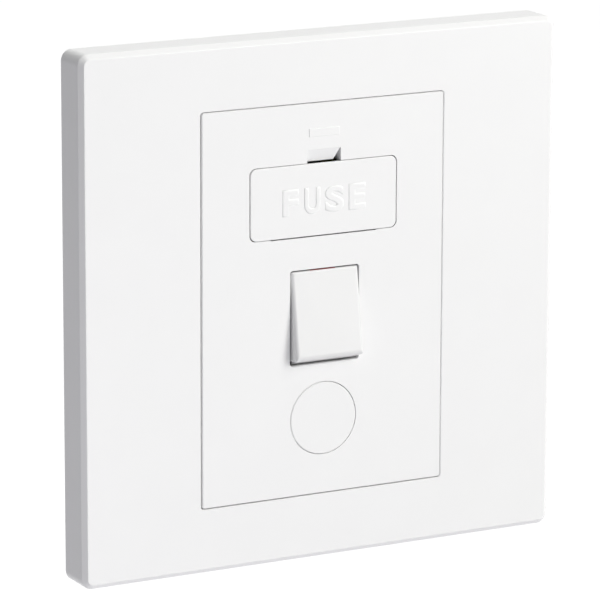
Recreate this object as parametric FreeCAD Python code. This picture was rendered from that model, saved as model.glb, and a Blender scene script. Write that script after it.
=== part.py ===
import FreeCAD, Part
import math
import os

from FreeCAD import Vector

# A switched fused spur unit for a single-gang wall box, in millimetres.
# The origin is the centre of the wall fixings on the wall plane.
# +X is to the right and +Z up as the user sees it, and +Y goes into the wall.

# Wall fixings, and the cover's margin beyond them, which makes it 86 square
fixing_spacing = 60.3
fixing_margin = 12.85

# Cover frame
plate_depth = 6.7
plate_corner = 1.8
cover_bevel = 0.8
cover_edge_round = 0.22
cover_front_wall = 1.8
cover_side_wall = 2.2
cover_inner_corner = 0.8
cover_rim_wall = 1.0
panel_side_gap = 0.17
panel_end_gap = 0.15
window_x = -0.08
window_z = -0.03

# Front insert, with the spaces between its openings from the top down
insert_margin = 1.375
insert_corner = 0.4
insert_wall = 2.0
skirt_wall = 1.5
edge_break = 0.12
boss_radius = 2.4
opening_reach = 4.0
carrier_top_margin = 9.785
carrier_rocker_space = 5.43
rocker_outlet_space = 3.11
outlet_bottom_margin = 6.525

# Support plate
support_gap = 1.3
support_thickness = 3.2
support_corner = 1.5
module_corner = 1.0
fixing_slot_width = 4.0
fixing_slot_length = 6.5
fixing_seat_margin = 2.1
fixing_seat_depth = 1.4
fixing_land = 9.0
pocket_depth = 1.4
pocket_edge = 2.0
pocket_side = 5.0
pocket_rib = 3.0
pocket_space = 1.5

# Clips between the cover frame and the support plate
clip_inset = 8.0
clip_z = 22.0
clip_width = 6.0
clip_thickness = 1.2
clip_barb = 0.9
clip_barb_edge = 0.3
clip_tip = 1.2
clip_ledge = 1.2
clip_play = 0.2

# Rear housing
housing_wall = 1.8
housing_floor = 2.0
housing_corner = 2.0
housing_lap = 1.5
rib_wall = 1.2
pocket_wall = 0.8
pocket_foot = 1.0
housing_screw_inset_x = 2.6
housing_screw_inset_z = 2.9
housing_screw_radius = 1.25
housing_screw_head = 2.1
housing_screw_head_height = 1.9
housing_screw_grip = 3.2
housing_boss_margin = 0.3
pilot_room = 0.4
barrier_play = 0.3
barrier_margin = 1.0
barrier_rise = 4.2

# Cord outlet with its blank, and the cord compartment
blank_radius = 6.0
blank_gap = 0.08
blank_x = 0.03
blank_drop = 0.03
blank_edge = 0.15
blank_bead = 0.35
blank_bead_height = 0.5
blank_lead = 1.3
blank_taper = 0.2
blank_wall = 1.0
blank_face = 1.2
cord_side_room = 2.4
cord_top_room = 8.15

# Cord clamp
clamp_edge = 2.3
clamp_screw_inset = 2.6
clamp_side_play = 0.6
clamp_height = 3.0
clamp_thickness = 2.6
clamp_corner = 0.8
clamp_post_radius = 1.9
clamp_post_end = 0.5
clamp_screw_radius = 0.9
clamp_screw_play = 0.15
clamp_screw_head = 1.7
clamp_screw_head_height = 1.3
clamp_screw_grip = 3.0
clamp_arch = 3.2
clamp_arch_depth = 1.0

# Fuse carrier
carrier_height = 11.76
carrier_corner = 1.1
carrier_wall = 1.6
carrier_nail_lip = 0.35
carrier_nail_depth = 0.8
carrier_round = 0.12
carrier_left_gap = 0.25
carrier_right_gap = 0.16
carrier_top_gap = 0.12
carrier_foot_gap = 0.055
carrier_middle = 9.6
carrier_middle_gap = 0.16
carrier_lip = 0.15
carrier_undercut = 0.4
carrier_pivot_depth = 1.1
carrier_pivot_rise = 2.52
carrier_pin_radius = 0.7
carrier_pin_length = 1.75
carrier_knuckle_skin = 0.05
carrier_knuckle_length = 2.825
carrier_ear_wall = 2.6
carrier_ear_half = 2.2
carrier_ear_depth = 1.8
pin_end_play = 0.25

# Cartridge fuse and its saddle
fuse_length = 25.4
fuse_end_room = 0.525
fuse_cap_radius = 3.175
fuse_cap_length = 5.8
fuse_cap_wall = 0.4
fuse_cap_skin = 0.175
fuse_cap_edge = 0.3
fuse_panel_space = 0.825
fuse_rise = 0.075
saddle_end_play = 0.6
saddle_wall = 0.83
saddle_play = 0.045
saddle_wrap = 0.7
saddle_web_half = 2.6

# Lever notch and raised bar above the carrier
notch_width = 6.1
notch_height = 2.15
notch_slot = 0.15
notch_lip = 0.05
notch_depth = 0.8
notch_wedge_foot = 1.0
notch_wedge_top = 0.1
bar_width = 5.5
bar_height = 1.35
bar_top_margin = 4.775
bar_proud = 0.1
bar_corner = 0.12
bar_round = 0.08

# Rocker
rocker_opening_width = 12.64
rocker_opening_height = 15.74
rocker_opening_corner = 0.5
rocker_opening_x = 0.21
rocker_left_gap = 0.27
rocker_right_gap = 0.12
rocker_top_gap = 0.22
rocker_tilt = 8.5
rocker_pivot_depth = 2.0
rocker_face = 3.0
rocker_waist = 0.2
rocker_back = 2.0
rocker_back_half = 2.6
rocker_wall = 1.2
rocker_front_wall = 1.4
rocker_corner = 0.5
rocker_top_round = 0.3
rocker_side_round = 0.55
rocker_bottom_round = 0.9
rocker_pin_radius = 1.0
rocker_pin_length = 1.5
rocker_ear_wall = 2.4
rocker_ear_half = 2.4
rocker_ear_depth = 2.1
flag_width = 4.6
flag_height = 2.2
flag_thickness = 0.6
flag_inset = 0.15

# Spring plungers in the rocker
pole_x = 2.6
plunger_radius = 1.42
plunger_reach = 8.55
plunger_start = 1.0
plunger_bore = 1.0
plunger_bore_depth = 4.0
tube_radius = 1.95
tube_end = 3.4
tube_floor = 0.4
spring_radius = 0.72
spring_wire = 0.14
spring_turns = 5

# Contact levers
lever_play = 0.13
lever_tilt = 9.0
lever_bend = 6.0
lever_width = 3.6
lever_thickness = 0.8
lever_end = 0.2
lever_lower = 5.5
knuckle_radius = 0.9
knuckle_flat = 0.1
contact_reach = 9.6
contact_radius = 1.5
contact_thickness = 0.9
contact_edge = 0.3
rivet_radius = 0.8
rivet_head_radius = 1.15
rivet_head_height = 0.3
contact_gap = 0.15

# Straps, cradles and fuse clips
strap_drop = 2.2
strap_thickness = 0.8
strap_end = 0.4
cradle_drop = 0.4
cradle_half_height = 1.6
clip_metal = 0.6
fuse_clip_play = 0.125
fuse_clip_arc = 60.0
fuse_clip_width = 5.0

# Terminals
terminal_size = 6.4
terminal_depth = 8.3
terminal_edge = 0.3
wire_hole = 1.9
wire_hole_depth = 3.2
wire_way_play = 0.4
terminal_screw_radius = 1.7
terminal_screw_length = 3.3
terminal_screw_head = 2.6
terminal_screw_head_height = 1.6
screw_access = 0.2
supply_space = 0.5
supply_side_room = 0.4
supply_drop = 5.5
load_top_room = 0.6
load_space = 1.2
earth_space = 0.85
earth_pitch = 6.0
screw_slot_width = 0.8
screw_slot_depth = 0.8

# Clearances, how far joined blocks run into each other, and how far cuts run past
running = 0.07
close = 0.02
thread_play = 0.05
seat = 0.1
root = 0.5
past = 1.0

# Depths that follow from the sizes above
front = -plate_depth
panel_back = front + insert_wall
skirt_end = -support_thickness
rocker_pivot_y = front + rocker_pivot_depth
rocker_face_y = rocker_pivot_y - rocker_face
lever_y = rocker_pivot_y + plunger_reach + plunger_radius + lever_thickness + lever_play
strap_front = lever_y + strap_drop
strap_back = strap_front + strap_thickness
floor_inside = strap_back + terminal_depth
housing_depth = floor_inside + housing_floor

# Places from the middle outwards
blank_hole = blank_radius + blank_gap
cord_half_width = blank_radius + cord_side_room
cord_wall_outer = cord_half_width + rib_wall
terminal_half = terminal_size / 2
pocket_half = terminal_half + seat + pocket_wall
supply_x = cord_wall_outer + supply_space + pocket_half
housing_width = 2 * (supply_x + pocket_half + supply_side_room + housing_wall)
insert_width = housing_width + 2 * insert_margin
module_width = housing_width - 2 * housing_lap
housing_screw_x = module_width / 2 - housing_screw_inset_x
clamp_screw_x = cord_half_width - clamp_screw_inset
clamp_length = 2 * (cord_half_width - clamp_side_play)
load_neutral_x = pole_x
load_live_x = load_neutral_x + terminal_size + load_space
earth_width = terminal_size + earth_pitch - seat
earth_x = load_neutral_x - terminal_half - earth_space - earth_width / 2
plate_size = fixing_spacing + 2 * fixing_margin
support_size = plate_size - 2 * (cover_side_wall + support_gap)
clip_x = plate_size / 2 - clip_inset
carrier_width = fuse_length + 2 * fuse_end_room
carrier_half = carrier_width / 2
carrier_left = -carrier_half - carrier_left_gap
carrier_right = carrier_half + carrier_right_gap
saddle_half_width = fuse_length / 2 - fuse_cap_length - saddle_end_play
fuse_clip_x = (fuse_length - fuse_cap_length) / 2
rocker_opening_left = rocker_opening_x - rocker_opening_width / 2
rocker_opening_right = rocker_opening_x + rocker_opening_width / 2
rocker_left = rocker_opening_left + rocker_left_gap
rocker_right = rocker_opening_right - rocker_right_gap

# Heights from the top of the insert down
insert_height = (carrier_top_margin + carrier_height + carrier_rocker_space + rocker_opening_height
                 + rocker_outlet_space + 2 * blank_radius + outlet_bottom_margin)
carrier_top = insert_height / 2 - carrier_top_margin
carrier_z = carrier_top - carrier_height / 2
carrier_bottom = carrier_top - carrier_height
bar_z = insert_height / 2 - bar_top_margin
rocker_z = carrier_bottom - carrier_rocker_space - rocker_opening_height / 2
outlet_z = rocker_z - rocker_opening_height / 2 - rocker_outlet_space - blank_radius
cord_top = outlet_z + cord_top_room
supply_z = cord_top - supply_drop
housing_height = insert_height - 2 * insert_margin
module_height = housing_height - 2 * housing_lap
housing_screw_z = module_height / 2 - housing_screw_inset_z
clamp_z = clamp_edge - module_height / 2
load_z = housing_height / 2 - housing_wall - load_top_room - terminal_half
contact_z = rocker_z + contact_reach
lever_upper = contact_reach + contact_radius + lever_end

# The two hinged pieces and the fuse
carrier_pivot = Vector(0, front + carrier_pivot_depth, carrier_bottom + carrier_pivot_rise)
carrier_opening_bottom = carrier_bottom - carrier_foot_gap
carrier_opening_top = carrier_top + carrier_top_gap
fuse_tube_radius = fuse_cap_radius - fuse_cap_skin
fuse_y = front + carrier_wall + fuse_panel_space + fuse_cap_radius
fuse_z = carrier_z + fuse_rise
rocker_pivot = Vector(0, rocker_pivot_y, rocker_z)
rocker_half_length = (rocker_opening_height / 2 - rocker_top_gap
                      - rocker_face * math.sin(math.radians(rocker_tilt))) / math.cos(math.radians(rocker_tilt))
rocker_skirt = rocker_face * math.tan(math.radians(rocker_tilt))
poles = {"live": -1, "neutral": 1}

along_x = Vector(1, 0, 0)
along_y = Vector(0, 1, 0)
along_z = Vector(0, 0, 1)


def box(x, y, z):
    """A block between two values on each axis."""
    return Part.makeBox(x[1] - x[0], y[1] - y[0], z[1] - z[0], Vector(x[0], y[0], z[0]))


def slab(width, height, y, x=0.0, z=0.0, corner=0.0):
    """A plate facing the user, centred on x and z, with its four corners rounded."""
    plate = box((x - width / 2, x + width / 2), y, (z - height / 2, z + height / 2))
    if corner:
        upright = [edge for edge in plate.Edges if runs_along(edge, along_y)]
        plate = plate.makeFillet(corner, upright)
    return plate


def runs_along(edge, direction):
    """Whether a straight edge is parallel to a direction."""
    if not isinstance(edge.Curve, Part.Line):
        return False
    return abs(abs(edge.Curve.Direction.dot(direction)) - 1) < 1e-6


def edges_at(shape, y):
    """The edges that lie wholly in the plane at this y."""
    return [edge for edge in shape.Edges
            if abs(edge.BoundBox.YMin - y) < 1e-4 and abs(edge.BoundBox.YMax - y) < 1e-4]


def rod_y(radius, y, x=0.0, z=0.0):
    """A round rod along Y."""
    return Part.makeCylinder(radius, y[1] - y[0], Vector(x, y[0], z), along_y)


def rod_x(radius, x, y, z):
    """A round rod along X."""
    return Part.makeCylinder(radius, x[1] - x[0], Vector(x[0], y, z), along_x)


def rod_z(radius, z, x, y):
    """A round rod along Z."""
    return Part.makeCylinder(radius, z[1] - z[0], Vector(x, y, z[0]), along_z)


def both_rods_x(radius, inner, outer, y, z):
    """Two equal rods along X, one each side of the middle."""
    return rod_x(radius, (inner, outer), y, z).fuse(rod_x(radius, (-outer, -inner), y, z))


def both_boxes(x, y, z):
    """Two equal blocks, mirrored about the middle."""
    return box(x, y, z).fuse(box((-x[1], -x[0]), y, z))


def prism_x(points, x):
    """A straight bar along X with an outline given as (y, z) points."""
    corners = [Vector(x[0], p[0], p[1]) for p in points]
    outline = Part.makePolygon(corners + corners[:1])
    return Part.Face(outline).extrude(Vector(x[1] - x[0], 0, 0))


def prism_y(points, y):
    """A straight bar along Y with an outline given as (x, z) points."""
    corners = [Vector(p[0], y[0], p[1]) for p in points]
    outline = Part.makePolygon(corners + corners[:1])
    return Part.Face(outline).extrude(Vector(0, y[1] - y[0], 0))


def prism_z(points, z):
    """A straight bar along Z with an outline given as (x, y) points."""
    corners = [Vector(p[0], p[1], z[0]) for p in points]
    outline = Part.makePolygon(corners + corners[:1])
    return Part.Face(outline).extrude(Vector(0, 0, z[1] - z[0]))


def turned(points, x=0.0, z=0.0):
    """A turned solid about a Y axis, with its half profile given as (radius, y) points."""
    corners = [Vector(x + p[0], p[1], z) for p in points]
    outline = Part.makePolygon(corners + corners[:1])
    return Part.Face(outline).revolve(Vector(x, 0, z), along_y, 360)


def tilted(shape, pivot, angle):
    """The shape turned about the X axis through a pivot. A positive angle brings its top forward."""
    shape = shape.copy()
    shape.rotate(pivot, along_x, angle)
    return shape


def mirrored(shape):
    """The shape mirrored left to right."""
    return shape.mirror(Vector(0, 0, 0), along_x)


def tidy(shape):
    """One clean solid, with faces that share a surface joined."""
    shape = shape.removeSplitter()
    if len(shape.Solids) == 1:
        return shape.Solids[0]
    return shape


def slotted_screw(radius, head_radius, head_height, tip, under_head, x, z):
    """A cheese-head screw along Y, with its head towards the back and a straight slot."""
    top = under_head + head_height
    head_edge = head_height / 6
    screw = turned([(0, tip), (radius * 0.6, tip), (radius, tip + radius * 0.5), (radius, under_head),
                    (head_radius, under_head), (head_radius, top - head_edge),
                    (head_radius - head_edge, top), (0, top)], x, z)
    slot = box((x - screw_slot_width / 2, x + screw_slot_width / 2), (top - screw_slot_depth, top + 1),
               (z - head_radius - 1, z + head_radius + 1))
    return screw.cut(slot)


def make_cover_frame():
    """The clip-on outer frame: a bevelled square shell with a window for the insert."""
    frame = slab(plate_size, plate_size, (front, 0), corner=plate_corner)
    frame = frame.makeChamfer(cover_bevel, edges_at(frame, front))
    frame = frame.makeFillet(cover_edge_round, edges_at(frame, front) + edges_at(frame, front + cover_bevel))
    inside = plate_size - 2 * cover_side_wall
    wall_back = front + cover_front_wall
    frame = frame.cut(slab(inside, inside, (wall_back, past), corner=cover_inner_corner))
    width = insert_width + 2 * panel_side_gap
    height = insert_height + 2 * panel_end_gap
    corner = insert_corner + panel_side_gap
    rim = slab(width + 2 * cover_rim_wall, height + 2 * cover_rim_wall,
               (wall_back - root, skirt_end - clip_play), window_x, window_z, corner + cover_rim_wall)
    frame = frame.fuse(rim)
    frame = frame.cut(slab(width, height, (front - past, past), window_x, window_z, corner))
    frame = frame.makeChamfer(edge_break, [edge for edge in edges_at(frame, front)
                                           if abs(edge.CenterOfMass.x) < width / 2 + cover_rim_wall
                                           and abs(edge.CenterOfMass.z) < height / 2 + cover_rim_wall])
    for side_z in (-clip_z, clip_z):
        hook = cover_hook(wall_back, (side_z - clip_width / 2, side_z + clip_width / 2))
        frame = frame.fuse([hook, mirrored(hook)])
    return tidy(frame)


def cover_hook(base, z):
    """One spring hook on the right-hand side of the cover frame."""
    inner = clip_x - clip_thickness / 2
    outer = clip_x + clip_thickness / 2
    catch = -support_thickness + clip_ledge
    tip = catch + clip_tip
    return prism_z([(inner, base - root), (outer, base - root), (outer, catch), (outer + clip_barb, catch),
                    (outer + clip_barb, catch + clip_barb_edge), (outer, tip), (inner, tip)], z)


def make_support_plate():
    """The moulded plate that screws to the wall box and carries the module and the cover."""
    through = (-support_thickness - past, past)
    plate = slab(support_size, support_size, (-support_thickness, 0), corner=support_corner)
    plate = plate.cut(slab(module_width, module_height, through, corner=module_corner))
    seat_y = (-support_thickness - past, -support_thickness + fixing_seat_depth)
    seat_width = fixing_slot_width + 2 * fixing_seat_margin
    seat_length = fixing_slot_length + 2 * fixing_seat_margin
    for side in (-1, 1):
        x = side * fixing_spacing / 2
        plate = plate.cut([round_slot(x, through, fixing_slot_length, fixing_slot_width),
                           round_slot(x, seat_y, seat_length, seat_width)])
    inner = clip_x - clip_thickness / 2 - clip_play
    outer = clip_x + clip_thickness / 2 + clip_play
    ledge_back = -support_thickness + clip_ledge
    for side_z in (-clip_z, clip_z):
        z = (side_z - clip_width / 2 - clip_play, side_z + clip_width / 2 + clip_play)
        plate = plate.cut(both_boxes((inner, outer), through, z))
        plate = plate.cut(both_boxes((inner, outer + clip_barb), (ledge_back, past), z))
    return tidy(plate.cut(support_pockets()))


def round_slot(x, y, length, width):
    """A slot along X with round ends, for a wall screw or its head."""
    radius = width / 2
    reach = length / 2 - radius
    ends = [rod_y(radius, y, x + side * reach) for side in (-1, 1)]
    return box((x - reach, x + reach), y, (-radius, radius)).fuse(ends)


def support_pockets():
    """Lightening pockets in the back of the support plate, which leave its ribs."""
    y = (-pocket_depth, past)
    edge = support_size / 2 - pocket_edge
    side = support_size / 2 - pocket_side
    width = 2 * (side - pocket_rib) / 3
    near_x = housing_width / 2 + pocket_edge
    near_z = housing_height / 2 + pocket_space
    far_x = clip_x - clip_thickness - pocket_space
    pockets = []
    for side_z in (-1, 1):
        band = sorted((side_z * near_z, side_z * edge))
        for place in (-1, 0, 1):
            middle = place * (width + pocket_rib)
            pockets.append(box((middle - width / 2, middle + width / 2), y, band))
        tall = sorted((side_z * fixing_land, side_z * (near_z - pocket_rib)))
        pockets.append(both_boxes((near_x, far_x), y, tall))
    return pockets


def make_front_insert():
    """The moulded module front, with the openings for the carrier, rocker and cord outlet."""
    body = slab(insert_width, insert_height, (front, skirt_end), corner=insert_corner)
    body = body.makeChamfer(edge_break, edges_at(body, front))
    inner_width = insert_width - 2 * skirt_wall
    inner_height = insert_height - 2 * skirt_wall
    body = body.cut(slab(inner_width, inner_height, (panel_back, past)))
    body = body.fuse(insert_bosses())
    body = body.cut(carrier_opening())
    body = body.cut(rocker_opening())
    body = body.cut(rod_y(blank_hole, (front - past, panel_back + past), 0, outlet_z))
    body = body.cut(insert_screw_holes())
    return tidy(body.fuse(raised_bar()))


def raised_bar():
    """The small raised bar above the lever notch."""
    bar = slab(bar_width, bar_height, (front - bar_proud, front + root), z=bar_z, corner=bar_corner)
    return bar.makeFillet(bar_round, edges_at(bar, front - bar_proud))


def insert_bosses():
    """Screw bosses, pivot bosses and the compartment wall behind the panel."""
    base = panel_back - root
    bosses = []
    for side_x in (-1, 1):
        for side_z in (-1, 1):
            bosses.append(rod_y(boss_radius, (base, 0), side_x * housing_screw_x, side_z * housing_screw_z))
        bosses.append(rod_y(clamp_post_radius, (base, clamp_post_end), side_x * clamp_screw_x, clamp_z))
    bosses.append(both_boxes((carrier_half, carrier_half + carrier_left_gap + carrier_ear_wall),
                             (base, carrier_pivot.y + carrier_ear_depth),
                             (carrier_pivot.z - carrier_ear_half, carrier_pivot.z + carrier_ear_half)))
    bosses.append(box((rocker_opening_left - rocker_ear_wall, rocker_opening_right + rocker_ear_wall),
                      (base, rocker_pivot.y + rocker_ear_depth),
                      (rocker_z - rocker_ear_half, rocker_z + rocker_ear_half)))
    wall_z = (seat - module_height / 2, cord_top + rib_wall)
    bosses.append(both_boxes((cord_half_width, cord_wall_outer), (base, -seat), wall_z))
    bosses.append(box((-cord_wall_outer, cord_wall_outer), (base, -seat), (cord_top, cord_top + rib_wall)))
    return bosses


def carrier_opening():
    """The opening for the fuse carrier: a thin front lip, an undercut, pivot sockets and the lever notch."""
    back = panel_back + opening_reach
    corner = carrier_corner + carrier_foot_gap
    opening = slab(carrier_right - carrier_left, carrier_opening_top - carrier_opening_bottom,
                   (front - past, back), (carrier_left + carrier_right) / 2,
                   (carrier_opening_top + carrier_opening_bottom) / 2, corner)
    middle = box((-carrier_middle, carrier_middle), (front - past, back),
                 (carrier_bottom - carrier_middle_gap, carrier_z))
    undercut = box((carrier_left, carrier_right), (front + carrier_lip, back),
                   (carrier_bottom - carrier_undercut, carrier_bottom + corner))
    sockets = both_rods_x(carrier_pin_radius + running, carrier_half - past,
                          carrier_half + carrier_pin_length + pin_end_play, carrier_pivot.y, carrier_pivot.z)
    floor_z = carrier_opening_top + notch_slot
    notch_top = carrier_opening_top + notch_height
    notch = prism_x([(front - past, notch_top), (front + notch_lip, notch_top), (front + notch_depth, floor_z),
                     (back, floor_z), (back, carrier_z), (front - past, carrier_z)],
                    (-notch_width / 2, notch_width / 2))
    side = notch_width / 2
    wedge = prism_y([(side - notch_wedge_foot, carrier_z), (side - notch_wedge_foot, floor_z),
                     (side - notch_wedge_top, notch_top), (side, notch_top), (side, carrier_z)],
                    (front - past, back))
    return [opening, middle, undercut, sockets, notch, wedge]


def rocker_opening():
    """The opening for the rocker, with its pivot sockets and a broken edge at the bottom."""
    opening = slab(rocker_opening_width, rocker_opening_height, (front - past, panel_back + opening_reach),
                   rocker_opening_x, rocker_z, rocker_opening_corner)
    socket_length = rocker_pin_length + pin_end_play
    reach = (rocker_opening_left - socket_length, rocker_opening_right + socket_length)
    sockets = rod_x(rocker_pin_radius + running, reach, rocker_pivot.y, rocker_pivot.z)
    bottom = rocker_z - rocker_opening_height / 2
    broken = prism_x([(front - past, bottom - edge_break - past), (front + edge_break + past, bottom + past),
                      (front - past, bottom + past)],
                     (rocker_opening_left + rocker_opening_corner, rocker_opening_right - rocker_opening_corner))
    return [opening, sockets, broken]


def insert_screw_holes():
    """Pilot holes in the housing bosses and the clamp posts."""
    holes = []
    pilot = housing_screw_radius + thread_play
    clamp_pilot = clamp_screw_radius + thread_play
    for side_x in (-1, 1):
        for side_z in (-1, 1):
            holes.append(rod_y(pilot, (-housing_screw_grip - pilot_room, past),
                               side_x * housing_screw_x, side_z * housing_screw_z))
        holes.append(rod_y(clamp_pilot, (clamp_post_end - clamp_screw_grip - pilot_room, past),
                           side_x * clamp_screw_x, clamp_z))
    return holes


def make_outlet_blank():
    """The round plug in the cord outlet, held by a bead behind the panel."""
    bead = blank_radius + blank_bead
    inner = blank_radius - blank_wall
    end = panel_back + blank_lead
    face_back = front + blank_face
    return turned([(0, front), (blank_radius - blank_edge, front), (blank_radius, front + blank_edge),
                   (blank_radius, panel_back), (bead, panel_back), (bead, panel_back + blank_bead_height),
                   (blank_radius - blank_taper, end), (inner, end), (inner, face_back), (0, face_back)],
                  blank_x, outlet_z - blank_drop)


def make_rear_housing():
    """The deep moulded box behind the wall plane, with terminal pockets, ribs and cord compartment."""
    shell = slab(housing_width, housing_height, (0, housing_depth), corner=housing_corner)
    inner_width = housing_width - 2 * housing_wall
    inner_height = housing_height - 2 * housing_wall
    shell = shell.cut(slab(inner_width, inner_height, (-past, floor_inside)))
    low = -housing_height / 2
    compartment = box((-cord_wall_outer, cord_wall_outer), (0, housing_depth), (low, cord_top + rib_wall))
    shell = shell.fuse([compartment] + housing_bosses() + housing_ribs())
    cord_space = box((-cord_half_width, cord_half_width), (-past, housing_depth + past),
                     (low - past, cord_top))
    shell = shell.cut(cord_space)
    shell = shell.fuse(terminal_pockets())
    return tidy(shell.cut(terminal_cuts() + housing_screw_cuts()))


def housing_bosses():
    """The four corner bosses that the housing screws pass through."""
    radius = boss_radius + housing_boss_margin
    return [rod_y(radius, (0, housing_depth), side_x * housing_screw_x, side_z * housing_screw_z)
            for side_x in (-1, 1) for side_z in (-1, 1)]


def housing_ribs():
    """The barrier between the two poles and the ribs that carry the straps."""
    half = rib_wall / 2
    y = (strap_back, floor_inside + root)
    barrier_half = pole_x - lever_width / 2 - barrier_play
    ribs = [box((-barrier_half, barrier_half), (lever_y - barrier_rise, floor_inside + root),
                (rocker_z - lever_lower - barrier_margin, rocker_z + lever_upper + barrier_margin))]
    pole_edge = pole_x + lever_width / 2
    for rib_z in (rocker_z, contact_z):
        ribs.append(box((-pole_edge, pole_edge), y, (rib_z - half, rib_z + half)))
    ribs.append(both_boxes((fuse_clip_x - half, fuse_clip_x + half), y,
                           (contact_z - half, fuse_z - fuse_tube_radius)))
    turn_z = cord_top + rib_wall
    ribs.append(both_boxes((pole_x, supply_x), y, (turn_z, turn_z + rib_wall)))
    return ribs


def terminal_places():
    """Each terminal block: name, centre x, centre z, width and the axis of its wire hole."""
    return [("supply_live", -supply_x, supply_z, terminal_size, "x"),
            ("supply_neutral", supply_x, supply_z, terminal_size, "x"),
            ("load_live", load_live_x, load_z, terminal_size, "z"),
            ("load_neutral", load_neutral_x, load_z, terminal_size, "z"),
            ("earth", earth_x, load_z, earth_width, "z")]


def wire_places(place):
    """The x positions of a block's wires: two on the earth block, one on the others."""
    name, x, z, width, axis = place
    if name == "earth":
        return [x - earth_pitch / 2, x + earth_pitch / 2]
    return [x]


def terminal_pockets():
    """A low wall round each terminal block."""
    y = (strap_back + pocket_foot, floor_inside + root)
    walls = []
    for name, x, z, width, axis in terminal_places():
        inner_width = width + 2 * seat
        inner_height = terminal_size + 2 * seat
        outer = slab(inner_width + 2 * pocket_wall, inner_height + 2 * pocket_wall, y, x, z)
        walls.append(outer.cut(slab(inner_width, inner_height, y, x, z)))
    return walls


def terminal_cuts():
    """Room for the blocks, wire ways through the walls, and screwdriver holes in the floor."""
    cuts = []
    wire_y = strap_back + wire_hole_depth
    way = wire_hole + wire_way_play
    access = terminal_screw_head + screw_access
    for place in terminal_places():
        name, x, z, width, axis = place
        cuts.append(slab(width + 2 * seat, terminal_size + 2 * seat, (strap_back, floor_inside), x, z))
        for wire_x in wire_places(place):
            cuts.append(rod_y(access, (floor_inside - past, housing_depth + past), wire_x, z))
            if axis == "z":
                cuts.append(rod_z(way, (z, housing_height / 2 + past), wire_x, wire_y))
        if axis == "x":
            reach = sorted((x, math.copysign(cord_half_width - past, x)))
            cuts.append(rod_x(way, reach, wire_y, z))
    return cuts


def housing_screw_cuts():
    """Clearance holes and head seats for the four housing screws."""
    cuts = []
    seat_y = housing_depth - housing_screw_head_height - seat
    for side_x in (-1, 1):
        for side_z in (-1, 1):
            x = side_x * housing_screw_x
            z = side_z * housing_screw_z
            cuts.append(rod_y(housing_screw_radius + screw_access, (-past, housing_depth), x, z))
            cuts.append(rod_y(housing_screw_head + screw_access, (seat_y, housing_depth + past), x, z))
    return cuts


def make_housing_screws():
    """The four long screws that clamp the housing and the insert on the support plate."""
    under_head = housing_depth - housing_screw_head_height - seat
    screws = [slotted_screw(housing_screw_radius, housing_screw_head, housing_screw_head_height,
                            -housing_screw_grip, under_head, side_x * housing_screw_x, side_z * housing_screw_z)
              for side_x in (-1, 1) for side_z in (-1, 1)]
    return Part.makeCompound(screws)


def make_fuse_carrier():
    """The hinged fuse carrier: panel with a lever recess, knuckles, pivot pins and the fuse saddle."""
    panel_end = front + carrier_wall
    pivot = carrier_pivot
    panel = slab(carrier_width, carrier_height, (front, panel_end), z=carrier_z, corner=carrier_corner)
    panel = panel.makeFillet(carrier_round, edges_at(panel, front))
    knuckle = carrier_pivot_depth - carrier_knuckle_skin
    knuckles = both_rods_x(knuckle, carrier_half - carrier_knuckle_length, carrier_half, pivot.y, pivot.z)
    pins = both_rods_x(carrier_pin_radius, carrier_half - root, carrier_half + carrier_pin_length,
                       pivot.y, pivot.z)
    carrier = panel.fuse([knuckles, pins, fuse_saddle(panel_end)])
    carrier = carrier.cut(box((-notch_width / 2, notch_width / 2), (front + carrier_nail_lip, panel_end + past),
                              (carrier_top - carrier_nail_depth, carrier_top + past)))
    bore = fuse_tube_radius + saddle_play
    carrier = carrier.cut(rod_x(bore, (-saddle_half_width - past, saddle_half_width + past), fuse_y, fuse_z))
    return tidy(carrier)


def fuse_saddle(panel_end):
    """The open saddle behind the carrier panel, before its bore is cut."""
    outer = fuse_tube_radius + saddle_play + saddle_wall
    x = (-saddle_half_width, saddle_half_width)
    ring = rod_x(outer, x, fuse_y, fuse_z)
    arms_end = fuse_y + saddle_wrap
    ring = ring.cut(box((x[0] - past, x[1] + past), (arms_end, arms_end + 2 * outer),
                        (fuse_z - 2 * outer, fuse_z + 2 * outer)))
    web = box(x, (panel_end - root, fuse_y - fuse_tube_radius / 2),
              (fuse_z - saddle_web_half, fuse_z + saddle_web_half))
    return ring.fuse(web)


def make_fuse_tube():
    """The ceramic tube of the cartridge fuse."""
    half = fuse_length / 2 - fuse_cap_wall
    return rod_x(fuse_tube_radius, (-half, half), fuse_y, fuse_z)


def make_fuse_end_caps():
    """The two metal caps pressed on the fuse tube."""
    half = fuse_length / 2
    start = half - fuse_cap_length
    cap = rod_x(fuse_cap_radius, (start, half), fuse_y, fuse_z)
    cap = cap.makeChamfer(fuse_cap_edge, [edge for edge in cap.Edges if edge.BoundBox.XMin > half - close])
    cap = cap.cut(rod_x(fuse_tube_radius + close, (start - past, half - fuse_cap_wall), fuse_y, fuse_z))
    return Part.makeCompound([cap, mirrored(cap)])


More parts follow.
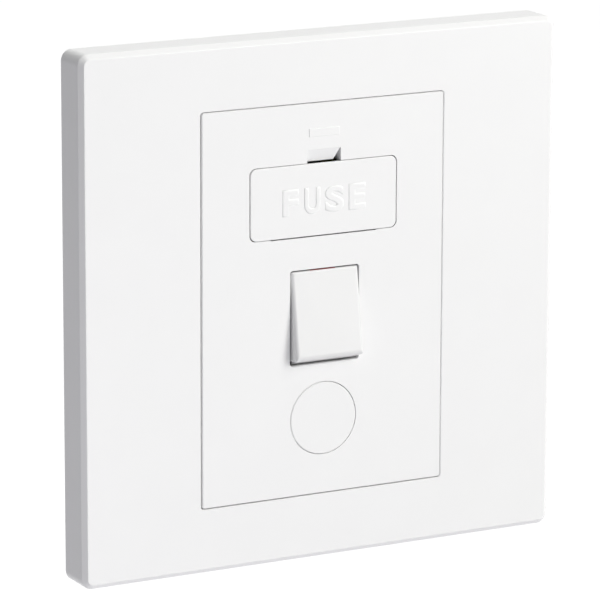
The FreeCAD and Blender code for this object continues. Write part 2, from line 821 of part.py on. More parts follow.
def rocker_shell():
    """The rocker's outside, level: rounder at the bottom, with a skirt that closes the gap below it."""
    low = rocker_z - rocker_half_length
    high = rocker_z + rocker_half_length
    waist = rocker_pivot.y + rocker_waist
    back = rocker_pivot.y + rocker_back
    x = (rocker_left, rocker_right)
    side = prism_x([(rocker_face_y, low), (waist, low), (back, rocker_z - rocker_back_half),
                    (back, rocker_z + rocker_back_half), (waist, high), (rocker_face_y, high)], x)
    for radius, end in ((rocker_top_round, high), (rocker_bottom_round, low)):
        side = side.makeFillet(radius, [edge for edge in edges_at(side, rocker_face_y)
                                        if abs(edge.CenterOfMass.z - end) < root])
    plan = slab(rocker_right - rocker_left, 2 * rocker_half_length, (rocker_face_y, back),
                (rocker_left + rocker_right) / 2, rocker_z, rocker_corner)
    cheeks = box(x, (rocker_face_y, back + past), (low - past, high + past))
    cheeks = cheeks.makeFillet(rocker_side_round, [edge for edge in edges_at(cheeks, rocker_face_y)
                                                   if runs_along(edge, along_z)])
    skirt_y = rocker_face_y + rocker_bottom_round
    skirt = prism_x([(skirt_y, low), (rocker_pivot.y, low - rocker_skirt), (waist, low), (waist, low + root),
                     (skirt_y, low + root)], (rocker_left + rocker_corner, rocker_right - rocker_corner))
    return side.common(plan).common(cheeks).fuse(skirt)


def make_rocker():
    """The hollow rocker button, modelled level and then tilted to its off position."""
    pivot = rocker_pivot
    wall_back = rocker_face_y + rocker_front_wall
    inner_half = rocker_half_length - rocker_wall
    hollow = box((rocker_left + rocker_wall, rocker_right - rocker_wall),
                 (wall_back, pivot.y + rocker_back + past), (rocker_z - inner_half, rocker_z + inner_half))
    tubes = []
    bores = []
    for side in poles.values():
        x = side * pole_x
        tubes.append(rod_y(tube_radius, (wall_back - root, pivot.y + tube_end), x, rocker_z))
        bores.append(rod_y(plunger_radius + running, (spring_seat(), pivot.y + tube_end + past), x, rocker_z))
    left_reach = (rocker_opening_left - rocker_pin_length, rocker_left + root)
    right_reach = (rocker_right - root, rocker_opening_right + rocker_pin_length)
    pins = [rod_x(rocker_pin_radius, reach, pivot.y, pivot.z) for reach in (left_reach, right_reach)]
    body = rocker_shell().cut(hollow).fuse(tubes + pins).cut(bores)
    return tidy(tilted(body.cut(flag_block()), pivot, -rocker_tilt))


def spring_seat():
    """The y of the floor of each plunger tube, with the rocker level."""
    return rocker_face_y + rocker_front_wall + tube_floor


def flag_block():
    """The coloured flag in the rocker's upper end, with the rocker level."""
    top = rocker_z + rocker_half_length
    start = rocker_face_y + flag_inset
    block = box((-flag_width / 2, flag_width / 2), (start, start + flag_height), (top - flag_thickness, top))
    return block.common(rocker_shell())


def make_rocker_flag():
    """The coloured flag, tilted with the rocker."""
    return tidy(tilted(flag_block(), rocker_pivot, -rocker_tilt))


def make_plunger(side):
    """A sprung plunger with a round nose, bored at the back for its spring."""
    x = side * pole_x
    start = rocker_pivot.y + plunger_start
    nose = rocker_pivot.y + plunger_reach
    plunger = rod_y(plunger_radius, (start, nose), x, rocker_z)
    plunger = plunger.fuse(Part.makeSphere(plunger_radius, Vector(x, nose, rocker_z)))
    plunger = plunger.cut(rod_y(plunger_bore, (start - past, start + plunger_bore_depth), x, rocker_z))
    return tidy(tilted(plunger, rocker_pivot, -rocker_tilt))


def make_plunger_spring(side):
    """The coil spring between the rocker and a plunger. A six-sided wire keeps its mesh light."""
    x = side * pole_x
    start = spring_seat() + seat + spring_wire
    end = rocker_pivot.y + plunger_start + plunger_bore_depth - seat - spring_wire
    length = end - start
    helix = Part.makeHelix(length / spring_turns, length, spring_radius)
    corners = []
    for index in range(7):
        angle = math.radians(60 * index)
        corners.append(Vector(spring_radius + spring_wire * math.cos(angle), 0, spring_wire * math.sin(angle)))
    section = Part.makePolygon(corners)
    spring = Part.Wire(helix.Edges).makePipeShell([section], True, True)
    spring.rotate(Vector(0, 0, 0), along_x, -90)
    spring.translate(Vector(x, start, rocker_z))
    return tilted(spring, rocker_pivot, -rocker_tilt)


def lever_frame(shape, side, wing=0.0):
    """Moves a lever part from its own pivot to its place, tilted to the off position."""
    shape = shape.copy()
    shape.rotate(Vector(0, 0, 0), along_x, wing + lever_tilt)
    shape.translate(Vector(side * pole_x, lever_y, rocker_z))
    return shape


def make_lever(side):
    """A see-saw contact lever: two wings bent forward and a knuckle in the middle."""
    half = lever_width / 2
    upper = box((-half, half), (-lever_thickness, 0), (0, lever_upper))
    upper = upper.cut(rod_y(rivet_radius + close, (-lever_thickness - past, past), 0, contact_reach))
    upper.rotate(Vector(0, 0, 0), along_x, lever_bend)
    lower = box((-half, half), (-lever_thickness, 0), (-lever_lower, 0))
    lower.rotate(Vector(0, 0, 0), along_x, -lever_bend)
    knuckle = rod_x(knuckle_radius, (-half, half), 0, 0)
    knuckle = knuckle.cut(box((-half - past, half + past), (-2 * knuckle_radius, -knuckle_flat),
                              (-2 * knuckle_radius, 2 * knuckle_radius)))
    return tidy(lever_frame(upper.fuse([lower, knuckle]), side))


def make_moving_contact(side):
    """The riveted contact near the upper end of a lever."""
    contact = rod_y(contact_radius, (0, contact_thickness), 0, contact_reach)
    contact = contact.fuse(rod_y(rivet_radius, (-lever_thickness, 0), 0, contact_reach))
    head = (-lever_thickness - rivet_head_height, -lever_thickness)
    contact = contact.fuse(rod_y(rivet_head_radius, head, 0, contact_reach))
    return tidy(lever_frame(contact, side, lever_bend))


def closed_contact_y():
    """The y that a lever's contact face reaches when the switch is on."""
    lean = math.radians(lever_tilt - lever_bend)
    return lever_y + contact_thickness * math.cos(lean) + contact_reach * math.sin(lean)


def make_fixed_contact(side):
    """The contact button on a fixed strap, opposite the lever's own."""
    start = closed_contact_y() + contact_gap
    return turned([(0, start), (contact_radius - contact_edge, start), (contact_radius, start + contact_edge),
                   (contact_radius, strap_front), (0, strap_front)], side * pole_x, contact_z)


def make_cradle(side):
    """The strap from a supply terminal to the seat that a lever rocks in."""
    half = lever_width / 2
    x = sorted((side * (pole_x - half), side * (pole_x + half)))
    y = (strap_front, strap_back)
    turn = (cord_top + rib_wall, cord_top + rib_wall + lever_width)
    post = box(x, (lever_y + cradle_drop, strap_back),
               (rocker_z - cradle_half_height, rocker_z + cradle_half_height))
    groove = rod_x(knuckle_radius + running, (x[0] - past, x[1] + past), lever_y, rocker_z)
    down = box(x, y, (turn[0], rocker_z))
    far = side * (supply_x + half)
    across = box(sorted((side * (pole_x - half), far)), y, turn)
    leg = box(sorted((side * (supply_x - half), far)), y, (supply_z - terminal_half + strap_end, turn[1]))
    return tidy(post.cut(groove).fuse([down, across, leg]))


def fuse_clip(side):
    """One spring cradle behind and below a fuse cap, with its leg to the strap plane."""
    inner = fuse_cap_radius + fuse_clip_play
    outer = inner + clip_metal
    x = sorted((side * (fuse_clip_x - fuse_clip_width / 2), side * (fuse_clip_x + fuse_clip_width / 2)))
    wedge = [(fuse_y, fuse_z)]
    for turn in (-1, 0, 1):
        angle = math.radians(-45 + turn * fuse_clip_arc)
        wedge.append((fuse_y + 3 * outer * math.cos(angle), fuse_z + 3 * outer * math.sin(angle)))
    cradle = rod_x(outer, x, fuse_y, fuse_z).common(prism_x(wedge, x))
    cradle = cradle.cut(rod_x(inner, (x[0] - past, x[1] + past), fuse_y, fuse_z))
    leg_angle = math.radians(fuse_clip_arc)
    leg_top = fuse_z - inner * math.sin(leg_angle)
    leg = box(x, (fuse_y + inner * math.cos(leg_angle) + seat, strap_back), (leg_top - clip_metal, leg_top))
    return cradle.fuse(leg), x, leg_top


def make_live_link():
    """The strap from the live fixed contact to the left-hand fuse clip."""
    clip, x, leg_top = fuse_clip(poles["live"])
    y = (strap_front, strap_back)
    half = lever_width / 2
    foot = box((x[0], -pole_x + half), y, (contact_z - half, contact_z + half))
    riser = box(x, y, (contact_z - half, leg_top))
    return tidy(clip.fuse([foot, riser]))


def make_load_live_clip():
    """The right-hand fuse clip and its strap up to the live load terminal."""
    clip, x, leg_top = fuse_clip(poles["neutral"])
    y = (strap_front, strap_back)
    base = leg_top - clip_metal
    rise = (load_live_x - fuse_clip_width / 2, load_live_x + fuse_clip_width / 2)
    across = box((min(x[0], rise[0]), max(x[1], rise[1])), y, (base, base + lever_width))
    riser = box(rise, y, (base, load_z + terminal_half - strap_end))
    return tidy(clip.fuse([across, riser]))


def make_neutral_link():
    """The straight strap from the neutral fixed contact up to the neutral load terminal."""
    half = lever_width / 2
    return box((pole_x - half, pole_x + half), (strap_front, strap_back),
               (contact_z - half, load_z + terminal_half - strap_end))


def make_terminal(place):
    """A brass terminal block with its wire hole and screw thread."""
    name, x, z, width, axis = place
    block = slab(width, terminal_size, (strap_back, floor_inside), x, z)
    block = block.makeChamfer(terminal_edge, edges_at(block, floor_inside))
    wire_y = strap_back + wire_hole_depth
    reach = terminal_half + past
    for wire_x in wire_places(place):
        if axis == "x":
            block = block.cut(rod_x(wire_hole, (wire_x - reach, wire_x + reach), wire_y, z))
        else:
            block = block.cut(rod_z(wire_hole, (z - reach, z + reach), wire_x, wire_y))
        block = block.cut(rod_y(terminal_screw_radius + thread_play, (wire_y, floor_inside + past), wire_x, z))
    return tidy(block)


def make_terminal_screws():
    """The six terminal screws, backed out so that each wire hole is free."""
    under_head = floor_inside + seat
    tip = under_head - terminal_screw_length
    screws = []
    for place in terminal_places():
        for wire_x in wire_places(place):
            screws.append(slotted_screw(terminal_screw_radius, terminal_screw_head, terminal_screw_head_height,
                                        tip, under_head, wire_x, place[2]))
    return Part.makeCompound(screws)


def make_cord_clamp():
    """The arched bar that grips the cord's sheath behind the outlet."""
    y = (clamp_post_end, clamp_post_end + clamp_thickness)
    bar = slab(clamp_length, clamp_height, y, z=clamp_z, corner=clamp_corner)
    arch_y = clamp_post_end - clamp_arch + clamp_arch_depth
    bar = bar.cut(rod_z(clamp_arch, (clamp_z - clamp_height, clamp_z + clamp_height), 0, arch_y))
    for side in (-1, 1):
        bar = bar.cut(rod_y(clamp_screw_radius + clamp_screw_play, (y[0] - past, y[1] + past),
                            side * clamp_screw_x, clamp_z))
    return tidy(bar)


def make_cord_clamp_screws():
    """The two screws that hold the cord clamp on its posts."""
    under_head = clamp_post_end + clamp_thickness
    tip = clamp_post_end - clamp_screw_grip
    return Part.makeCompound([slotted_screw(clamp_screw_radius, clamp_screw_head, clamp_screw_head_height,
                                            tip, under_head, side * clamp_screw_x, clamp_z)
                              for side in (-1, 1)])


def main():
    """Builds every piece and writes one file for each."""
    pieces = {
        "cover_frame": make_cover_frame(),
        "front_insert": make_front_insert(),
        "support_plate": make_support_plate(),
        "rear_housing": make_rear_housing(),
        "housing_screws": make_housing_screws(),
        "outlet_blank": make_outlet_blank(),
        "cord_clamp": make_cord_clamp(),
        "cord_clamp_screws": make_cord_clamp_screws(),
        "fuse_carrier": make_fuse_carrier(),
        "fuse_tube": make_fuse_tube(),
        "fuse_end_caps": make_fuse_end_caps(),
        "rocker": make_rocker(),
        "rocker_flag": make_rocker_flag(),
        "live_link": make_live_link(),
        "neutral_link": make_neutral_link(),
        "load_live_clip": make_load_live_clip(),
        "terminal_screws": make_terminal_screws(),
    }
    for pole, side in poles.items():
        pieces[pole + "_plunger"] = make_plunger(side)
        pieces[pole + "_plunger_spring"] = make_plunger_spring(side)
        pieces[pole + "_lever"] = make_lever(side)
        pieces[pole + "_moving_contact"] = make_moving_contact(side)
        pieces[pole + "_fixed_contact"] = make_fixed_contact(side)
        pieces[pole + "_cradle"] = make_cradle(side)
    for place in terminal_places():
        pieces[place[0] + "_terminal"] = make_terminal(place)

    os.makedirs("parts", exist_ok=True)
    for name, shape in pieces.items():
        shape.exportStep("parts/" + name + ".step")
        print(name, "solids", len(shape.Solids), "valid", shape.isValid(), "volume", round(shape.Volume, 1))


main()
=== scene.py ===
import math

import bpy
import numpy as np
from mathutils import Matrix, Vector


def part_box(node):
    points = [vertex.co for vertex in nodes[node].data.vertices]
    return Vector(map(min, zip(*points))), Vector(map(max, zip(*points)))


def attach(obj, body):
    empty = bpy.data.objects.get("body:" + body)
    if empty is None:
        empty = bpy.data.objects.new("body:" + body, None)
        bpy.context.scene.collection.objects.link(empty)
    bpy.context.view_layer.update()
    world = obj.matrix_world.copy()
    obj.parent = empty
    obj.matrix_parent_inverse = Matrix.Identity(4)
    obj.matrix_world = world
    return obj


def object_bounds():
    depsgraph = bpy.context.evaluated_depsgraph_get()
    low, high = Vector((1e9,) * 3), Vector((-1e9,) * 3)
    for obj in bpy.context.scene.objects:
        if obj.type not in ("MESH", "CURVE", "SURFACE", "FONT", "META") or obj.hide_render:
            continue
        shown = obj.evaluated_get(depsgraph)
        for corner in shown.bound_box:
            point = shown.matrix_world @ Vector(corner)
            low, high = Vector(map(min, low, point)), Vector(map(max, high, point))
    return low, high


# Looks of the switched fused spur unit, in metres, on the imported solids
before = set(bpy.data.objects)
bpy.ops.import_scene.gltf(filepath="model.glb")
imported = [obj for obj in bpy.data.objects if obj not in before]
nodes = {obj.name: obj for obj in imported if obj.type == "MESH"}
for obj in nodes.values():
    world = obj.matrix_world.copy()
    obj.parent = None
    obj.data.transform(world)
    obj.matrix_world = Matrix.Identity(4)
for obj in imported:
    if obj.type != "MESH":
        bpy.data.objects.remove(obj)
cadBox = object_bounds()
mm = 0.001


# Helpers

def fromHex(code):  # sRGB hex to linear red, green, blue and alpha
    parts = [int(code[i:i + 2], 16) / 255 for i in (1, 3, 5)]
    linear = [c / 12.92 if c <= 0.04045 else ((c + 0.055) / 1.055) ** 2.4 for c in parts]
    return (*linear, 1.0)


def addNode(tree, kind, settings=None, **links):
    # settings: a property by its name, or a socket by its name or number. links: a socket, by its name
    # or as i and its number, and the output that goes into it
    node = tree.nodes.new(kind)
    for key, value in (settings or {}).items():
        if isinstance(key, str) and hasattr(node, key):
            setattr(node, key, value)
        else:
            node.inputs[key].default_value = value
    for key, output in links.items():
        byNumber = key[0] == "i" and key[1:].isdigit()
        tree.links.new(output, node.inputs[int(key[1:]) if byNumber else key.replace("_", " ")])
    return node


def newMaterial(name):
    material = bpy.data.materials.new(name)
    material.use_nodes = True
    tree = material.node_tree
    return material, tree, tree.nodes["Principled BSDF"]


def pieceMaterial(name, ior=None):  # its patterns follow the piece's own coordinates. A metal keeps its IOR
    material, tree, shader = newMaterial(name)
    if ior:
        shader.inputs["IOR"].default_value = ior
    return material, tree, shader, addNode(tree, "ShaderNodeTexCoord").outputs["Object"]


def mottle(tree, shader, place, look):
    # The base colour drifts from "colour" to "shade" over patches as many millimetres across as "patch"
    slow = addNode(tree, "ShaderNodeTexNoise",
                   {"Scale": 1 / (look["patch"] * mm), "Detail": look["patchDetail"]}, Vector=place)
    ends = {"data_type": "RGBA", 6: fromHex(look["colour"]), 7: fromHex(look["shade"])}
    tone = addNode(tree, "ShaderNodeMix", ends, i0=slow.outputs["Fac"])
    tree.links.new(tone.outputs[2], shader.inputs["Base Color"])
    return slow.outputs["Fac"]


def dress(material, *names):  # gives CAD nodes this material alone
    for name in names:
        slots = nodes[name].data.materials
        slots.clear()
        slots.append(material)


# Materials

# Urea formaldehyde, compression moulded in a polished tool: dense white, soft gloss, faint orange peel
mouldingLook = {
    "colour": "#F4F4F4", "shade": "#F1F1F1",
    "patch": 9.0, "patchDetail": 2.0,  # mm across a patch of the slow change of tone
    "roughness": 0.33, "spread": 0.03,
    "peel": 0.9, "peelDetail": 1.0,  # mm between the ripples of the polished mould
    "height": 0.004, "strength": 0.15,  # mm that the ripples stand up, and how much of it is felt
    "ior": 1.54,
}

# Polycarbonate, injection moulded in a polished tool: a shade greyer than the urea round it, and smoother
rockerLook = {
    "colour": "#E7E7E7", "shade": "#E4E4E4",
    "patch": 6.0, "patchDetail": 2.0,
    "roughness": 0.32, "spread": 0.03,
    "peel": 1.2, "peelDetail": 1.0,
    "height": 0.003, "strength": 0.15,
    "ior": 1.58,
}


def polishedMoulding(name, look):
    material, tree, shader, place = pieceMaterial(name, look["ior"])
    slow = mottle(tree, shader, place, look)
    ends = {3: look["roughness"] - look["spread"], 4: look["roughness"] + look["spread"]}
    gloss = addNode(tree, "ShaderNodeMapRange", ends, i0=slow)
    tree.links.new(gloss.outputs["Result"], shader.inputs["Roughness"])
    ripple = addNode(tree, "ShaderNodeTexNoise",
                     {"Scale": 1 / (look["peel"] * mm), "Detail": look["peelDetail"]}, Vector=place)
    bump = addNode(tree, "ShaderNodeBump", {"Strength": look["strength"], "Distance": look["height"] * mm},
                   Height=ripple.outputs["Fac"])
    tree.links.new(bump.outputs["Normal"], shader.inputs["Normal"])
    return material


# Polycarbonate, injection moulded in a spark-eroded tool: off-white, even fine grit, no gloss
baseLook = {
    "colour": "#E4E3DF", "shade": "#DCDBD6",
    "patch": 12.0, "patchDetail": 2.0,
    "roughness": 0.55,
    "grit": 0.35, "gritDetail": 3.0,  # mm across a grain
    "height": 0.012, "strength": 0.35,
    "ior": 1.58,
}


def mattePolycarbonate():
    look = baseLook
    material, tree, shader, place = pieceMaterial("mattePolycarbonateMoulding", look["ior"])
    mottle(tree, shader, place, look)
    shader.inputs["Roughness"].default_value = look["roughness"]
    grit = addNode(tree, "ShaderNodeTexNoise",
                   {"Scale": 1 / (look["grit"] * mm), "Detail": look["gritDetail"]}, Vector=place)
    bump = addNode(tree, "ShaderNodeBump", {"Strength": look["strength"], "Distance": look["height"] * mm},
                   Height=grit.outputs["Fac"])
    tree.links.new(bump.outputs["Normal"], shader.inputs["Normal"])
    return material


# ABS, injection moulded and polished: strong red with a soft gloss
flagLook = {
    "colour": "#E0322B", "shade": "#D42C26",
    "patch": 1.5, "patchDetail": 2.0,
    "roughness": 0.32,
    "ior": 1.54,
}


def redAbs():
    material, tree, shader, place = pieceMaterial("redAbsMoulding", flagLook["ior"])
    mottle(tree, shader, place, flagLook)
    shader.inputs["Roughness"].default_value = flagLook["roughness"]
    return material


# Nylon, injection moulded and unpainted: milky, a little light passes into it
plungerLook = {
    "colour": "#E6E1D2", "shade": "#DDD7C6",
    "patch": 2.0, "patchDetail": 2.0,
    "roughness": 0.42,
    "milkiness": 0.2, "milkDepth": 0.8,  # mm that light goes into it
    "ior": 1.53,
}


def naturalNylon():
    look = plungerLook
    material, tree, shader, place = pieceMaterial("naturalNylonMoulding", look["ior"])
    mottle(tree, shader, place, look)
    shader.inputs["Roughness"].default_value = look["roughness"]
    shader.inputs["Subsurface Weight"].default_value = look["milkiness"]
    shader.inputs["Subsurface Scale"].default_value = look["milkDepth"] * mm
    return material


# Steatite tube, pressed, fired and glazed: cream with a clear gloss over fine specks
tubeLook = {
    "colour": "#EDE8DA", "shade": "#DFD8C6",
    "patch": 0.5, "patchDetail": 4.0,
    "roughness": 0.4,
    "glaze": 0.8, "glazeRoughness": 0.08,
}


def glazedCeramic():
    look = tubeLook
    material, tree, shader, place = pieceMaterial("glazedSteatite")
    mottle(tree, shader, place, look)
    shader.inputs["Roughness"].default_value = look["roughness"]
    shader.inputs["Coat Weight"].default_value = look["glaze"]
    shader.inputs["Coat Roughness"].default_value = look["glazeRoughness"]
    return material


# Every metal: stains as patches of tone, and the fine lines that its making leaves
metalLook = {
    "patch": 3.0, "patchDetail": 3.0,
    "stretch": 0.06, "lineDetail": 3.0,  # how dense the pattern is along a line, as a share of across it
    "smoother": 0.06, "rougher": 0.08,  # how far the roughness goes from its middle value
    "strength": 0.4,
}

# For each: two tones, roughness, mm between lines, the axis that the lines follow, their height in mm
metals = {
    # Brass strip, rolled and pressed: warm yellow with fine lines along the strip
    "rolledBrassStrip": ("#D9B46A", "#C9A258", 0.3, 0.25, 2, 0.006),
    # Free-machining brass bar, sawn and drilled: a little duller, with cutter lines across the bar
    "machinedBrassBar": ("#CFA75C", "#BE964C", 0.36, 0.3, 0, 0.01),
    # Silver alloy contact, headed cold: pale and soft
    "headedSilverAlloy": ("#E6E3DE", "#D6D2CB", 0.28, 0.2, 0, 0.004),
    # Brass cap, drawn and nickel plated: bright with faint drawing lines
    "nickelPlatedCap": ("#D8D5CE", "#C8C4BC", 0.2, 0.2, 0, 0.003),
    # Steel screw, cold headed and zinc plated: cool grey, cloudy
    "zincPlatedSteel": ("#C9CCCD", "#B4B8BA", 0.34, 0.25, 0, 0.006),
    # Music wire, drawn: dark grey with lines along the wire
    "drawnSpringWire": ("#A7A8A9", "#8E9092", 0.3, 0.1, 1, 0.002),
}


def metal(name):
    colour, shade, roughness, spacing, axis, height = metals[name]
    look = {**metalLook, "colour": colour, "shade": shade}
    material, tree, shader, place = pieceMaterial(name)
    shader.inputs["Metallic"].default_value = 1.0
    mottle(tree, shader, place, look)
    scale = [1 / (spacing * mm)] * 3
    scale[axis] *= look["stretch"]
    lay = addNode(tree, "ShaderNodeMapping", {"Scale": scale}, Vector=place)
    lines = addNode(tree, "ShaderNodeTexNoise", {"Scale": 1.0, "Detail": look["lineDetail"]},
                    Vector=lay.outputs["Vector"])
    ends = {3: roughness - look["smoother"], 4: roughness + look["rougher"]}
    rough = addNode(tree, "ShaderNodeMapRange", ends, i0=lines.outputs["Fac"])
    tree.links.new(rough.outputs["Result"], shader.inputs["Roughness"])
    bump = addNode(tree, "ShaderNodeBump", {"Strength": look["strength"], "Distance": height * mm},
                   Height=lines.outputs["Fac"])
    tree.links.new(bump.outputs["Normal"], shader.inputs["Normal"])
    return material


print("materials")
moulding = polishedMoulding("polishedUreaMoulding", mouldingLook)
dress(moulding, "cover_frame", "front_insert", "outlet_blank", "fuse_carrier")
dress(polishedMoulding("polishedPolycarbonateMoulding", rockerLook), "rocker")
dress(mattePolycarbonate(), "support_plate", "rear_housing", "cord_clamp")
dress(redAbs(), "rocker_flag")
dress(naturalNylon(), "live_plunger", "neutral_plunger")
dress(glazedCeramic(), "fuse_tube")
dress(metal("rolledBrassStrip"), "live_lever", "neutral_lever", "live_cradle", "neutral_cradle", "live_link",
      "neutral_link", "load_live_clip")
dress(metal("machinedBrassBar"), "supply_live_terminal", "supply_neutral_terminal", "load_live_terminal",
      "load_neutral_terminal", "earth_terminal")
dress(metal("headedSilverAlloy"), "live_moving_contact", "neutral_moving_contact", "live_fixed_contact",
      "neutral_fixed_contact")
dress(metal("nickelPlatedCap"), "fuse_end_caps")
dress(metal("zincPlatedSteel"), "housing_screws", "terminal_screws", "cord_clamp_screws")
dress(metal("drawnSpringWire"), "live_plunger_spring", "neutral_plunger_spring")


# The raised word on the fuse carrier

wordLook = {
    "letters": (("F", -7.51, -4.61), ("U", -3.58, -0.67), ("S", 0.18, 3.65), ("E", 4.51, 7.63)),  # mm along X
    "low": 14.2, "high": 18.5,  # mm up the carrier's front
    "proud": 0.11,  # mm
    "edge": 0.045,  # the round edge, as a share of the letter's type size
    "flat": 0.004,  # half the straight part of the letter's thickness, as the same share
    "edgeSteps": 3, "curveSteps": 8,
}


def raisedWord():
    # Each letter of a plain bold alphabet is stretched to its own place: width along X, height along Z,
    # and thickness out of the carrier along -Y. The word says what the carrier holds
    look = wordLook
    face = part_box("fuse_carrier")[0].y
    for letter, left, right in look["letters"]:
        curve = bpy.data.curves.new("letter" + letter, "FONT")
        curve.body = letter
        curve.size = 1.0
        curve.extrude = look["flat"]
        curve.bevel_depth = look["edge"]
        curve.bevel_resolution = look["edgeSteps"]
        curve.resolution_u = look["curveSteps"]
        holder = bpy.data.objects.new("letter" + letter, curve)
        bpy.context.scene.collection.objects.link(holder)
        bpy.context.view_layer.update()
        mesh = bpy.data.meshes.new_from_object(holder.evaluated_get(bpy.context.evaluated_depsgraph_get()))
        bpy.data.objects.remove(holder)
        points = np.zeros(len(mesh.vertices) * 3)
        mesh.vertices.foreach_get("co", points)
        points = points.reshape(-1, 3)
        share = (points - points.min(0)) / np.ptp(points, axis=0)
        placed = np.stack([
            (left + share[:, 0] * (right - left)) * mm,
            face - (share[:, 2] * 2 - 1) * look["proud"] * mm,
            (look["low"] + share[:, 1] * (look["high"] - look["low"])) * mm], 1)
        mesh.vertices.foreach_set("co", placed.ravel())
        mesh.update()
        mesh.materials.clear()
        mesh.materials.append(moulding)
        piece = bpy.data.objects.new("fuse_letter_" + letter.lower(), mesh)
        bpy.context.scene.collection.objects.link(piece)
        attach(piece, "carrier")


print("raised word")
raisedWord()


# Stage, light and camera

stageLook = {
    "floorDrop": 0.2,  # the unit hangs this far over the floor
    "floorSize": 12.0,
    "floor": "#8C8C8C",
    "glow": "#F9F8FF", "glowPower": 0.458,  # the paper's own light on the unit, as from a wide white sweep
    "white": 0.7, "lift": 0.32,  # what brings the paper to white where it is seen
    "sky": 0.02,
    "unmirrored": "lowRear",  # this lamp lights the back, and shows no image in the glossy sides
    # name, place and aim in metres, side in metres, watts, colour
    "lamps": (
        ("softbox", (0.56, -0.81, 0.70), (0, 0, 0), 0.7, 7.9, "#FFFFFC"),
        ("lowFill", (0.75, -0.85, 0.20), (0, 0, 0), 0.5, 4.9, "#FFFFFC"),
        ("overhead", (0.1, 0.1, 1.1), (0, 0, 0), 0.8, 4.3, "#FFFFFF"),
        ("rearFill", (0.2, 0.7, 0.9), (0, 0, 0), 0.7, 2.4, "#FFFFFF"),
        ("lowRear", (0.05, 0.85, -0.05), (0, 0, 0), 0.3, 2.8, "#FFFFFF"),
        ("edgeFill", (-0.15, -0.16, -0.04), (-0.04, 0, -0.045), 0.04, 0.055, "#F9F8FF"),
    ),
}


def seenWhite(tree):  # 1 for the rays that show the background, 0 for those that light the unit
    path = addNode(tree, "ShaderNodeLightPath")
    shown = addNode(tree, "ShaderNodeMath", {"operation": "MAXIMUM"}, i0=path.outputs["Is Camera Ray"],
                    i1=path.outputs["Is Glossy Ray"])
    return addNode(tree, "ShaderNodeMath", {"operation": "MAXIMUM"}, i0=shown.outputs[0],
                   i1=path.outputs["Is Transmission Ray"]).outputs[0]


def makeSky():  # white where it is seen, and nearly dark as a light
    world = bpy.data.worlds.new("studio")
    bpy.context.scene.world = world
    world.use_nodes = True
    tree = world.node_tree
    level = addNode(tree, "ShaderNodeMapRange", {3: stageLook["sky"], 4: 1.0}, i0=seenWhite(tree))
    background = tree.nodes["Background"]
    background.inputs["Color"].default_value = (1, 1, 1, 1)
    tree.links.new(level.outputs["Result"], background.inputs["Strength"])


def paperFloor():
    # White where it is seen. To the rest of the scene it is grey paper with a glow of its own
    look = stageLook
    material, tree, paper = newMaterial("paperFloor")
    paper.inputs["Base Color"].default_value = fromHex(look["floor"])
    paper.inputs["Roughness"].default_value = 1.0
    paper.inputs["Specular IOR Level"].default_value = 0.0
    seen = seenWhite(tree)
    white = addNode(tree, "ShaderNodeEmission", {"Strength": 1.0})
    share = addNode(tree, "ShaderNodeMath", {"operation": "MULTIPLY", 1: look["white"]}, i0=seen)
    both = addNode(tree, "ShaderNodeMixShader", i0=share.outputs[0], i1=paper.outputs[0],
                   i2=white.outputs[0])
    lift = addNode(tree, "ShaderNodeEmission", {"Strength": look["lift"]})
    glow = addNode(tree, "ShaderNodeEmission", {"Color": fromHex(look["glow"]), "Strength": look["glowPower"]})
    raised = addNode(tree, "ShaderNodeMixShader", i0=seen, i1=glow.outputs[0], i2=lift.outputs[0])
    total = addNode(tree, "ShaderNodeAddShader", i0=both.outputs[0], i1=raised.outputs[0])
    tree.links.new(total.outputs[0], tree.nodes["Material Output"].inputs["Surface"])
    return material


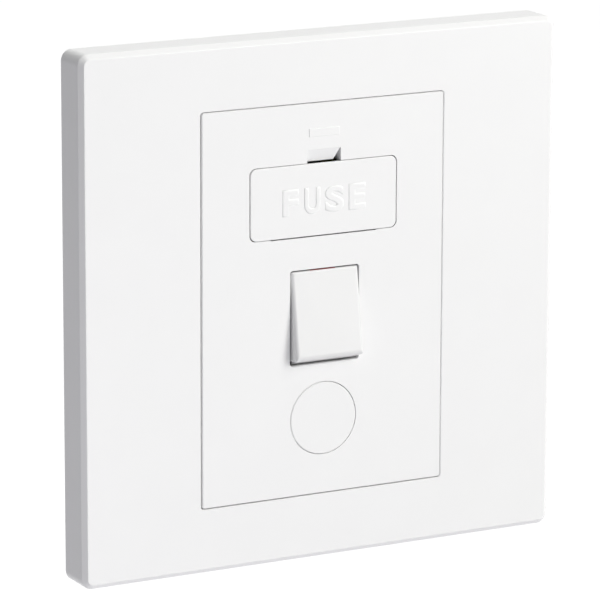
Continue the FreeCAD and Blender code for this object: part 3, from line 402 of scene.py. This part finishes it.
def makeFloor():
    half = stageLook["floorSize"] / 2
    z = cadBox[0].z - stageLook["floorDrop"]
    mesh = bpy.data.meshes.new("floor")
    corners = [(-half, -half, z), (half, -half, z), (half, half, z), (-half, half, z)]
    mesh.from_pydata(corners, [], [(0, 1, 2, 3)])
    mesh.materials.append(paperFloor())
    floor = bpy.data.objects.new("floor", mesh)
    bpy.context.scene.collection.objects.link(floor)


def makeLamps():
    for name, place, aim, side, watts, colour in stageLook["lamps"]:
        lamp = bpy.data.lights.new(name, "AREA")
        lamp.shape = "SQUARE"
        lamp.size = side
        lamp.energy = watts
        lamp.color = fromHex(colour)[:3]
        holder = bpy.data.objects.new(name, lamp)
        bpy.context.scene.collection.objects.link(holder)
        holder.location = place
        holder.rotation_euler = (Vector(aim) - Vector(place)).to_track_quat("-Z", "Y").to_euler()
        holder.visible_glossy = name != stageLook["unmirrored"]


cameraLook = {
    "azimuth": -28.234, "elevation": 12.998, "roll": 0.175,  # degrees
    "target": (-4.301, -6.7, 0.336), "distance": 693.005,  # mm
    "lens": 259.45, "sensor": 36.0,  # mm
    "near": 0.01, "far": 50,  # m
}


def makeCamera():
    # Back points from the target to the camera. Right and up are level with the floor, then turned by roll
    look = cameraLook
    azimuth, elevation, roll = (math.radians(look[key]) for key in ("azimuth", "elevation", "roll"))
    back = Vector((math.sin(azimuth) * math.cos(elevation), -math.cos(azimuth) * math.cos(elevation),
                   math.sin(elevation)))
    right = (-back).cross(Vector((0, 0, 1))).normalized()
    up = right.cross(-back)
    turnedRight = right * math.cos(roll) + up * math.sin(roll)
    turnedUp = up * math.cos(roll) - right * math.sin(roll)
    camera = bpy.data.objects.new("camera", bpy.data.cameras.new("camera"))
    bpy.context.scene.collection.objects.link(camera)
    place = Vector(look["target"]) * mm + back * look["distance"] * mm
    camera.matrix_world = Matrix((
        (turnedRight.x, turnedUp.x, back.x, place.x),
        (turnedRight.y, turnedUp.y, back.y, place.y),
        (turnedRight.z, turnedUp.z, back.z, place.z),
        (0, 0, 0, 1)))
    camera.data.lens = look["lens"]
    camera.data.sensor_width = look["sensor"]
    camera.data.clip_start = look["near"]
    camera.data.clip_end = look["far"]
    bpy.context.scene.camera = camera


print("stage, light and camera")
makeSky()
makeFloor()
makeLamps()
makeCamera()
bpy.context.scene.view_settings.view_transform = "Standard"
